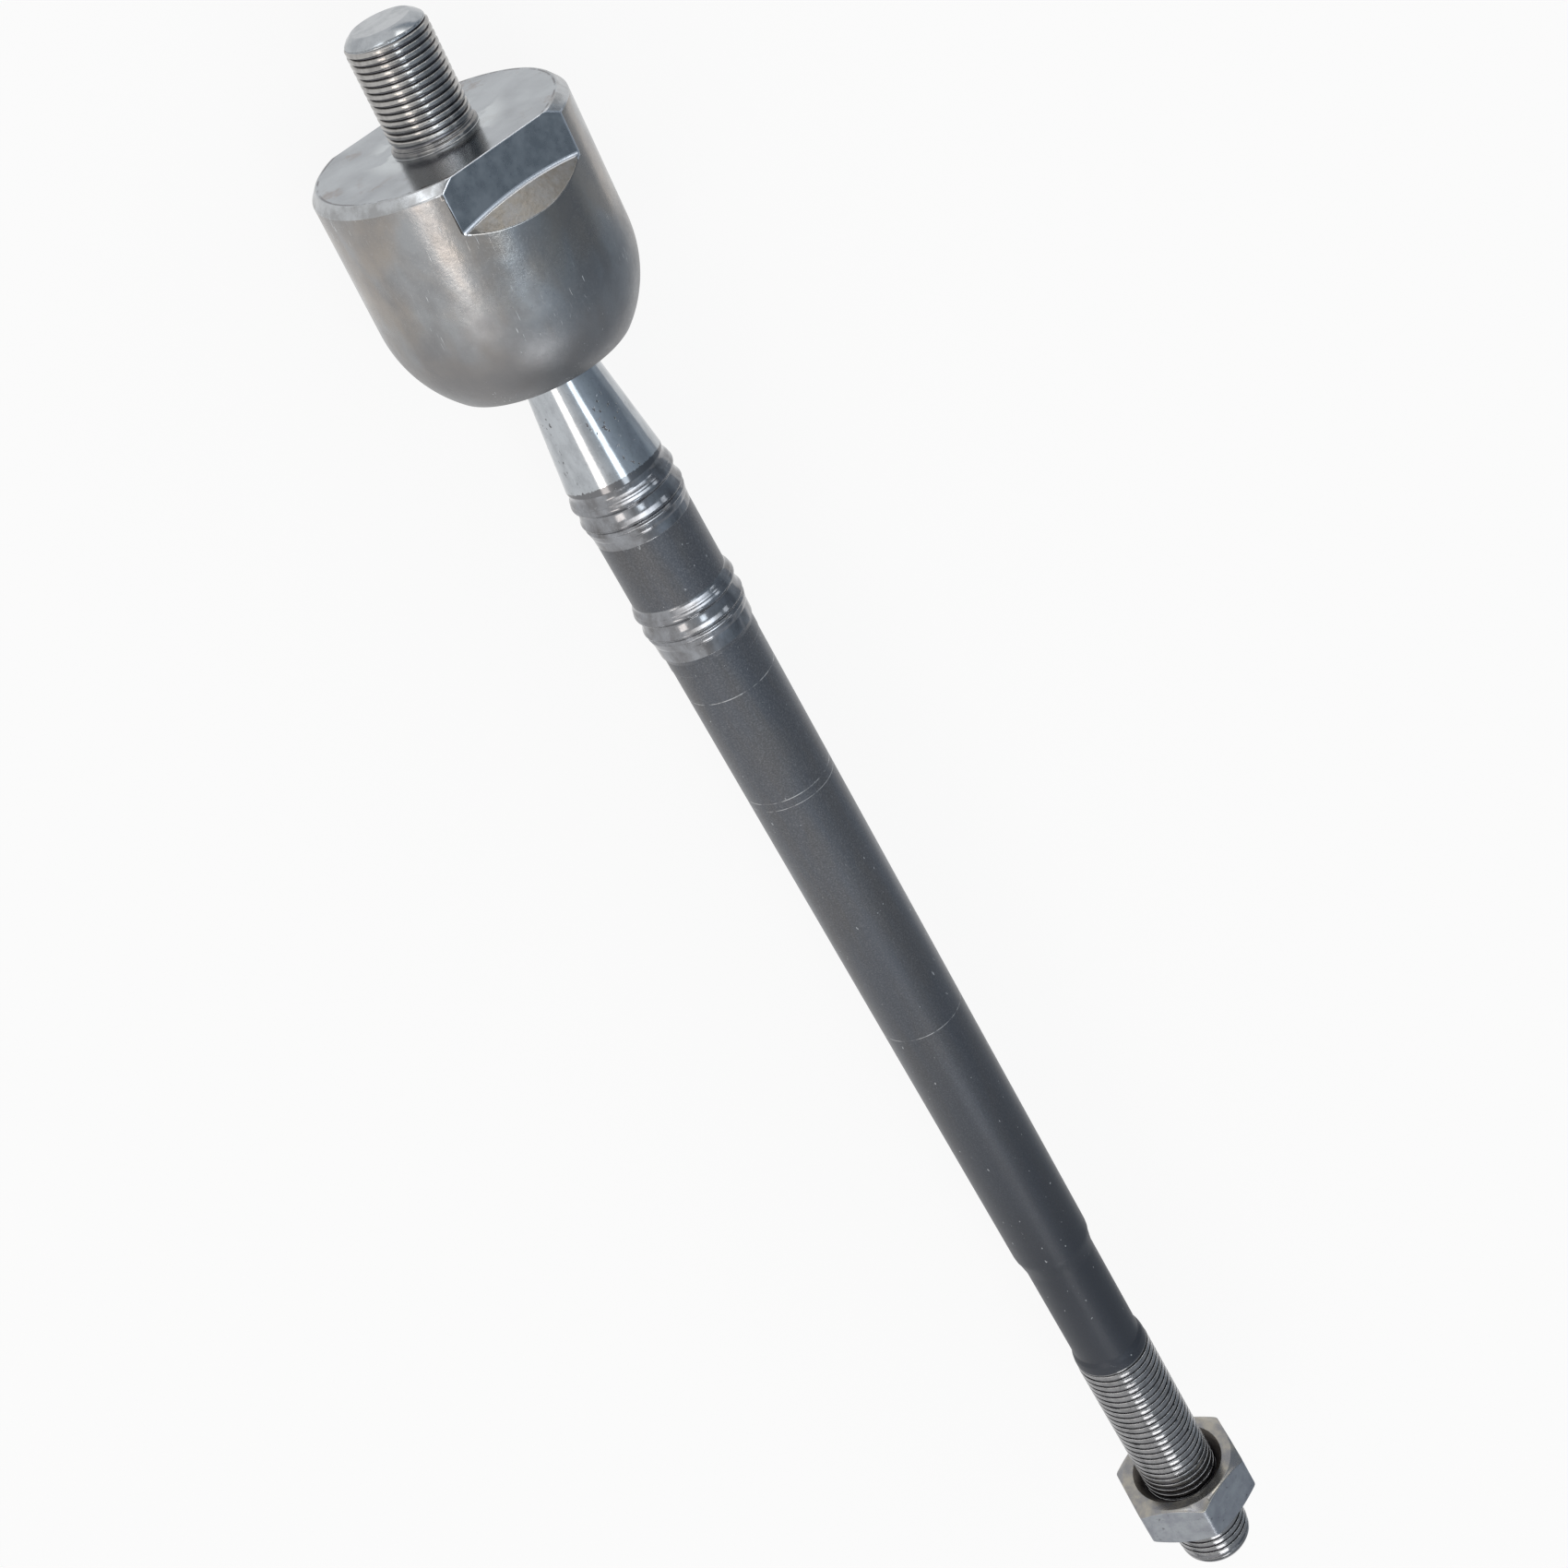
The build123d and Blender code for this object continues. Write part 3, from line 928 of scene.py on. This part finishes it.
def housing_zone(centre, normal):
    """Which finish a face of the housing gets."""
    x, radius = centre.x, off_axis(centre)
    if x < FACE_X - 0.02 and radius < STUD_RING_R + 0.05:
        return TIP_END if x < -STUD_THREAD + 0.2 else RELIEF if x > -0.75 else STUD
    faces_axis = normal.y * centre.y + normal.z * centre.z <= 0
    if faces_axis and radius < BORE_R + 0.3 and FLOOR_X - 0.1 < x < MOUTH_X:
        return BORE
    if abs(x - FACE_X) < 0.05 and normal.x < -0.9:
        return FACE
    for turn in FLAT_TURNS:
        heading = flat_heading(turn)
        depth = HOUSING_R - centre.dot(heading)
        if normal.dot(heading) > 0.99 and abs(depth - FLAT_DEPTH) < 0.05:
            return FLAT
        in_cut = 0.0 < depth < FLAT_DEPTH and radius < HOUSING_R - 0.02
        if in_cut and normal.x < -0.3 and x > FACE_X + 3.0:
            return RAMP
    if x < FACE_X + RIM_CHAMFER_X and -0.9 < normal.x < -0.2 and radius > HOUSING_R - 1.55:
        return RIM
    return WALL


housing_shell = make_housing()
housing_shell.data.materials.clear()
paint(housing_shell, housing_finishes, housing_zone)
break_edges(housing_shell, width=0.15, root_width=0.35)
housing_shell = levelled(housing_shell, "housing_shell", keep_sharp=True)

threads = thread_tree()
to_stud = Matrix.Rotation(math.radians(90), 4, "Y")
stud_start = Matrix.Translation(Vector((-STUD_THREAD + 0.1, 0.0, 0.0)) * MM)
stud_thread = wound_thread(
    "stud_thread",
    threads,
    thread_sizes(STUD_CORE_R, STUD_DEPTH, STUD_PITCH, 14.3, crest=0.50, rounding=0.12, run_out=0.3),
    housing_finishes[STUD],
    stud_start @ to_stud,
)


# Rod


# One collar: stations from its start, and heights over the rod between the collars
COLLAR_SHAPE = [
    (0.0, 0.0), (0.30, 0.02), (0.50, 0.09), (0.90, 0.32), (1.12, 0.43), (1.25, 0.46),
    (1.33, 0.43), (1.42, 0.46), (1.60, 0.54), (1.85, 0.62), (2.05, 0.64), (2.25, 0.59),
    (2.45, 0.42), (2.62, 0.22), (2.78, 0.12), (2.95, 0.12), (3.15, 0.145), (3.55, 0.200),
    (3.95, 0.262), (4.20, 0.32), (4.45, 0.41), (4.70, 0.52), (4.90, 0.59), (5.05, 0.60),
    (5.20, 0.55), (5.36, 0.40), (5.50, 0.24), (5.60, 0.19), (5.68, 0.20), (5.80, 0.27),
    (5.95, 0.37), (6.08, 0.42), (6.18, 0.40), (6.28, 0.33), (6.45, 0.30), (6.85, 0.25),
    (7.15, 0.18), (7.35, 0.10),
]


def make_rod():
    """Ball, neck, collars, shank and the core of the end thread, turned in one."""
    leave = math.degrees(neck_slope + math.asin(neck_offset / BALL_R))
    outline = arc((0.0, 0.0), BALL_R, 180.0, leave, 40)
    outline[0] = (-BALL_R, 0.0)
    neck_x, neck_r = outline.pop()
    rise = math.tan(neck_slope)
    # A small fillet where the neck leaves the ball
    for on, fillet in ((-0.15, 0.12), (0.0, 0.05), (0.15, 0.0), (0.4, 0.0)):
        outline.append((neck_x + on, neck_r + max(on, 0.0) * rise + fillet))
    for along in (18.0, 23.0, 28.0, 32.8):
        outline.append((along, NECK_SMALL_R + along * rise))
    turnings = [
        (33.0, NECK_SMALL_R + 33.0 * rise),
        (NECK_END, NECK_END_R),
        (COLLAR_1 - 0.2, MID_R + 0.02),
    ]
    for start, band_end in ((COLLAR_1, BAND_1_END), (COLLAR_2, BAND_2_END)):
        turnings += [(start + along, MID_R + height) for along, height in COLLAR_SHAPE]
        turnings.append((band_end - 0.1, BAND_R))
        turnings.append((band_end, BAND_R - 0.01))
        if start == COLLAR_1:
            turnings += [(band_end + 0.1, MID_R), (COLLAR_2 - 0.2, MID_R)]
    turnings += [
        (STEP_END, STEP_R),
        (SHANK_START, STEP_R),
        (SHANK_START + 0.1, SHANK_R),
        (SHANK_END - 0.6, SHANK_END_R + 0.02),
        (SHANK_END + 0.3, SHANK_END_R - 0.07),
        (SHANK_END + 1.0, SHANK_END_R - 0.25),
        (REDUCED_START - 0.5, REDUCED_R + 0.08),
        (REDUCED_START + 0.3, REDUCED_R),
        (REDUCED_END, REDUCED_R),
        (REDUCED_END + 1.0, THREAD_R - 0.22),
        (THREAD_START - 0.6, THREAD_R - 0.08),
        (THREAD_START + 0.1, THREAD_R - 0.08),
        (THREAD_START + 0.4, THREAD_CORE_R),
        (TIP - 2.6, THREAD_CORE_R),
        (TIP - 2.2, THREAD_R - 0.1),
        (TIP - 1.4, THREAD_R - 0.2),
        (TIP - 0.5, THREAD_R - 0.75),
        (TIP, THREAD_R - TIP_CHAMFER),
        (TIP, 0.0),
    ]
    return turned("rod_bar", outline + softened(turnings, CORNER_CUT), 96, rod_frame)


rod_finishes = [
    neck_finish(),
    collar_finish(),
    shank_finish(),
    thread_finish(
        "rod_thread_steel", rod_frame, THREAD_R, THREAD_CORE_R, ROD_CREST, ROD_ROOT_SHADE, (0.08, 0.18)
    ),
]
NECK, COLLAR, SHANK, ROD_THREAD = range(4)


def rod_zone(centre, _):
    """Which finish a face of the rod gets, from its station alone."""
    x = centre.x
    if x < NECK_END:
        return NECK
    if x < BAND_1_END + 0.1 or COLLAR_2 - 0.05 < x < BAND_2_END:
        return COLLAR
    return SHANK if x < THREAD_START - 0.1 else ROD_THREAD


rod_bar = make_rod()
paint(rod_bar, rod_finishes, rod_zone, rod_frame)

thread_place = Matrix.Translation(Vector((THREAD_START + 0.2, 0.0, 0.0)) * MM)
rod_thread = wound_thread(
    "rod_thread",
    threads,
    thread_sizes(
        THREAD_CORE_R, THREAD_DEPTH, THREAD_PITCH, 36.3, crest=0.52, rounding=0.24, run_out=0.4
    ),
    rod_finishes[ROD_THREAD],
    rod_frame @ thread_place @ to_stud,
)


# Jam nut


def make_nut():
    """A hexagon with rounded corners, whose turned faces fall away at its corners."""
    around = 180
    slope = math.tan(math.radians(NUT_CORNER_ANGLE))
    verts, faces = [], []
    for k in range(around):
        angle = 2 * math.pi * k / around
        off = (angle % (math.pi / 3)) - math.pi / 6
        side = NUT_FLAT_R / math.cos(off)
        side = min(side, NUT_FLAT_R / math.cos(math.pi / 6) - NUT_CORNER_CUT)
        drop = (side - NUT_FACE_R) * slope
        soft = 0.10
        half = [
            (NUT_SINK_DEPTH + soft, NUT_BORE_R),
            (NUT_SINK_DEPTH, NUT_BORE_R + 0.03),
            (soft, NUT_SINK_R - 0.06),
            (0.0, NUT_SINK_R + soft),
            (0.0, NUT_FACE_R - soft),
            (soft * 0.25, NUT_FACE_R + 0.06),
            (drop - 0.06 + soft * 0.2, side - soft * 1.1),
            (drop + soft, side),
            (drop + 2 * soft, side),
        ]
        ring = [(NUT_START + a, r) for a, r in half]
        ring += [(NUT_START + NUT_THICK - a, r) for a, r in reversed(half)]
        for along, radius in ring:
            spot = Vector((along, radius * math.sin(angle), radius * math.cos(angle)))
            verts.append(rod_frame @ (spot * MM))
    count = len(verts) // around
    for k in range(around):
        one, two = k * count, ((k + 1) % around) * count
        for j in range(count):
            after = (j + 1) % count
            faces.append((one + j, one + after, two + after, two + j))
    return keep_mesh("hex_nut", verts, faces)


nut_finishes = [nut_finish(), nut_edge_finish(), nut_sink_finish()]
FLANK, CORNER, MOUTH = range(3)


def nut_zone(centre, normal):
    """Which finish a face of the nut gets."""
    inside = NUT_START + NUT_SINK_DEPTH
    in_hole = off_axis(centre) < NUT_SINK_R - 0.03
    if in_hole and inside - 1.5 < centre.x < NUT_START + NUT_THICK:
        return MOUTH
    return CORNER if abs(normal.x) > 0.3 else FLANK


hex_nut = make_nut()
paint(hex_nut, nut_finishes, nut_zone, rod_frame)
hex_nut = levelled(hex_nut, "hex_nut")

for node, finish in (("ball_seat", seat_finish()), ("preload_disc", spring_finish())):
    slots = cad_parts[node].data.materials
    if len(slots):
        slots[0] = finish
    else:
        slots.append(finish)

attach(housing_shell, "housing_body")
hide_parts("housing")
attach(stud_thread, "housing_body")
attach(rod_bar, "rod_body")
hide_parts("tie_rod")
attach(rod_thread, "rod_body")
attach(hex_nut, "nut_body")
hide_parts("jam_nut")


# Studio: sizes, places and lamps in metres

FLOOR_Z = -HOUSING_R * MM
FLOOR_LIFT = 0.88
WORLD_LIGHT = 0.6


def stage_mesh(name, verts, faces, material):
    """A piece of the studio, which isn't part of the object."""
    mesh = bpy.data.meshes.new(name)
    mesh.from_pydata(verts, [], faces)
    mesh.materials.append(material)
    panel = in_scene(bpy.data.objects.new(name, mesh))
    return panel


def studio_material(name):
    """A new material with nothing but its output, then its nodes and links."""
    material = bpy.data.materials.new(name)
    material.use_nodes = True
    nodes, links = material.node_tree.nodes, material.node_tree.links
    nodes.clear()
    return material, nodes, links, nodes.new("ShaderNodeOutputMaterial")


def seen_directly(nodes, links):
    """1 for what the camera, a reflection or a clear piece shows, and 0 for cast light."""
    rays = nodes.new("ShaderNodeLightPath").outputs
    seen = combined(nodes, links, "MAXIMUM", rays["Is Camera Ray"], rays["Is Glossy Ray"])
    return combined(nodes, links, "MAXIMUM", seen, rays["Is Transmission Ray"])


def floor_finish():
    """Pale floor: lit diffusely, and lifted to white for what the camera and the metal see."""
    material, nodes, links, out = studio_material("pale_floor")
    paper = nodes.new("ShaderNodeBsdfDiffuse")
    paper.inputs["Color"].default_value = (0.90, 0.90, 0.90, 1.0)
    glow = nodes.new("ShaderNodeEmission")
    glow.inputs["Color"].default_value = (1.0, 1.0, 1.0, 1.0)
    glow.inputs["Strength"].default_value = 1.0
    top = nodes.new("ShaderNodeMixShader")
    lift = combined(nodes, links, "MULTIPLY", seen_directly(nodes, links), FLOOR_LIFT)
    links.new(lift, top.inputs[0])
    links.new(paper.outputs[0], top.inputs[1])
    links.new(glow.outputs[0], top.inputs[2])

    # From below the floor is clear, so it hides nothing
    clear = nodes.new("ShaderNodeBsdfTransparent")
    sides = nodes.new("ShaderNodeMixShader")
    under = nodes.new("ShaderNodeNewGeometry")
    links.new(under.outputs["Backfacing"], sides.inputs[0])
    links.new(top.outputs[0], sides.inputs[1])
    links.new(clear.outputs[0], sides.inputs[2])
    links.new(sides.outputs[0], out.inputs["Surface"])
    return material


def panel_finish(name, shades, strength=1.0):
    """A panel that only the metal's reflections show. shades are (Y in metres, level)."""
    material, nodes, links, out = studio_material(name)
    glow = nodes.new("ShaderNodeEmission")
    glow.inputs["Strength"].default_value = strength
    links.new(glow.outputs[0], out.inputs["Surface"])
    spot = nodes.new("ShaderNodeTexCoord")
    parts = nodes.new("ShaderNodeSeparateXYZ")
    links.new(spot.outputs["Object"], parts.inputs[0])
    low, high = shades[0][0], shades[-1][0]
    across = nodes.new("ShaderNodeMapRange")
    links.new(parts.outputs["Y"], across.inputs["Value"])
    across.inputs["From Min"].default_value = low
    across.inputs["From Max"].default_value = high
    ramp = nodes.new("ShaderNodeValToRGB")
    links.new(across.outputs[0], ramp.inputs["Fac"])
    stops = ramp.color_ramp.elements
    while len(stops) < len(shades):
        stops.new(0.5)
    for stop, (y, shade) in zip(stops, shades):
        stop.position = (y - low) / (high - low)
        stop.color = (*shade, 1.0)
    links.new(ramp.outputs["Color"], glow.inputs["Color"])
    return material


def hide_from_light(panel):
    """Only reflections show the panel: it casts no light and no shadow."""
    panel.visible_camera = False
    panel.visible_diffuse = False
    panel.visible_shadow = False
    panel.visible_transmission = False


def reflected_plane(name, corners, shades):
    """A flat panel that only reflections show."""
    material = panel_finish(name + "_shade", shades)
    hide_from_light(stage_mesh(name, corners, [tuple(range(len(corners)))], material))


def reflected_panel(name, rows, start, end, shades, strength=1.0):
    """A panel swept along X from rows of (y, z), which only reflections show."""
    verts = [(x, y, z) for x in (start, end) for y, z in rows]
    count = len(rows)
    faces = [(k, k + 1, count + k + 1, count + k) for k in range(count - 1)]
    hide_from_light(stage_mesh(name, verts, faces, panel_finish(name + "_shade", shades, strength)))


floor_corners = [(x, y, FLOOR_Z) for x, y in ((-6, -6), (6, -6), (6, 6), (-6, 6))]
stage_mesh("floor", floor_corners, [(0, 1, 2, 3)], floor_finish())
reflected_panel(
    "canopy",
    [(-0.55, 1.45), (0.0, 1.50), (0.5, 1.40), (0.9, 1.10), (1.15, 0.70), (1.2, 0.30), (1.2, 0.0)],
    -0.7,
    3.2,
    [
        (-0.55, (0.82, 0.82, 0.82)),
        (0.0, (0.62, 0.66, 0.70)),
        (0.65, (0.47, 0.54, 0.62)),
        (1.05, (0.30, 0.35, 0.40)),
        (1.2, (0.24, 0.28, 0.33)),
    ],
)
# Painted shade: a dark sheet on the floor beside the part, which only reflections show, stands in
# for the floor's shade there
reflected_panel(
    "canopy_foot",
    [(1.2, 0.0), (0.9, FLOOR_Z + 0.002), (0.05, FLOOR_Z + 0.001)],
    -0.7,
    3.2,
    [(0.05, (0.44, 0.48, 0.53)), (0.25, (0.34, 0.39, 0.44)), (1.2, (0.26, 0.30, 0.35))],
)
reflected_panel(
    "overhead_strip",
    [(-1.15, 1.0), (-0.6, 1.16), (0.0, 1.22), (0.5, 1.16), (0.95, 0.9)],
    -0.62,
    -0.17,
    [
        (-1.15, (0.12, 0.12, 0.12)),
        (-0.5, (0.42, 0.41, 0.40)),
        (0.0, (0.95, 0.95, 0.95)),
        (0.4, (0.80, 0.84, 0.88)),
        (0.95, (0.15, 0.17, 0.19)),
    ],
    5.0,
)
reflected_panel(
    "far_side",
    [(0.42, 1.38), (0.82, 1.08), (1.06, 0.68), (1.11, 0.30), (1.11, 0.0)],
    1.25,
    3.2,
    [(0.42, (0.62, 0.66, 0.70)), (1.11, (0.50, 0.54, 0.60))],
)
reflected_plane(
    "end_panel",
    [
        (0.5, -0.2, FLOOR_Z + 0.002),
        (0.5, 1.2, FLOOR_Z + 0.002),
        (2.9, 1.2, 1.44),
        (2.9, -0.75, 1.44),
    ],
    [
        (-0.75, (0.60, 0.60, 0.60)),
        (0.0, (0.36, 0.38, 0.40)),
        (0.5, (0.46, 0.49, 0.53)),
        (1.2, (0.46, 0.49, 0.53)),
    ],
)
reflected_plane(
    "near_panel",
    [(-0.7, -0.5, 1.46), (-0.7, 1.2, 1.46), (-1.3, 1.2, 0.6), (-1.3, -0.35, 0.6)],
    [(-0.5, (0.42, 0.42, 0.42)), (0.3, (0.34, 0.36, 0.38)), (1.2, (0.28, 0.31, 0.34))],
)

world = bpy.data.worlds.new("studio")
bpy.context.scene.world = world
world.use_nodes = True
sky, wires = world.node_tree.nodes, world.node_tree.links
backdrop = sky["Background"]
backdrop.inputs["Color"].default_value = (1.0, 1.0, 1.0, 1.0)
level = sky.new("ShaderNodeMapRange")
level.inputs["To Min"].default_value = WORLD_LIGHT
level.inputs["To Max"].default_value = 1.0
wires.new(seen_directly(sky, wires), level.inputs["Value"])
wires.new(level.outputs[0], backdrop.inputs["Strength"])


def lamp(name, near, far, height, power, colour, leans_from=None):
    """A soft lamp above the part, level between two corners (x, y).

    leans_from turns it to shine from that place towards the origin instead.
    """
    light = bpy.data.lights.new(name, "AREA")
    light.shape = "RECTANGLE"
    light.size = far[0] - near[0]
    light.size_y = far[1] - near[1]
    light.energy = power
    light.color = colour
    holder = in_scene(bpy.data.objects.new(name, light))
    holder.location = ((near[0] + far[0]) / 2, (near[1] + far[1]) / 2, height)
    if leans_from:
        holder.rotation_euler = Vector(leans_from).to_track_quat("Z", "Y").to_euler()


# The first two give the neck and the wall their warm and cool streaks, the third the
# end thread its bright line, and the small ones the head and the far side a sheen
for placed in (
    ("warm_lamp", (0.15, -1.19), (0.55, -0.66), 1.15, 1.75, (1.0, 0.90, 0.82)),
    ("cool_lamp", (0.10, 0.07), (0.34, 0.33), 1.15, 0.70, (0.86, 0.94, 1.0)),
    ("end_lamp", (1.40, -0.30), (2.10, 0.26), 1.15, 6.2, (1.0, 0.99, 0.98)),
    ("corner_lamp", (-1.2, 0.35), (-0.85, 0.65), 0.30, 0.9, (1.0, 0.97, 0.92), (-1.28, 0.48, 0.30)),
    ("window_lamp", (-1.2, -0.62), (-0.8, -0.22), 0.50, 1.0, (0.96, 0.98, 1.0), (-1.0, -0.42, 0.50)),
    ("side_lamp", (-0.38, 0.90), (-0.04, 1.10), 0.62, 0.35, (0.92, 0.96, 1.0), (-0.21, 1.0, 0.62)),
):
    lamp(*placed)

# Camera at the photograph's viewpoint
camera = bpy.data.cameras.new("camera")
camera.sensor_width = 36.0
camera.lens = 63.87
viewer = in_scene(bpy.data.objects.new("camera", camera))
image_right = Vector((0.36856, 0.89092, 0.26538))
image_up = Vector((-0.75779, 0.45329, -0.46935))
image_back = Vector((-0.53844, -0.02812, 0.84219))
view_place = Matrix((image_right, image_up, image_back)).transposed().to_4x4()
view_place.translation = Vector((-117.76, -8.30, 369.04)) * MM
viewer.matrix_world = view_place
bpy.context.scene.camera = viewer
bpy.context.scene.view_settings.view_transform = "Standard"
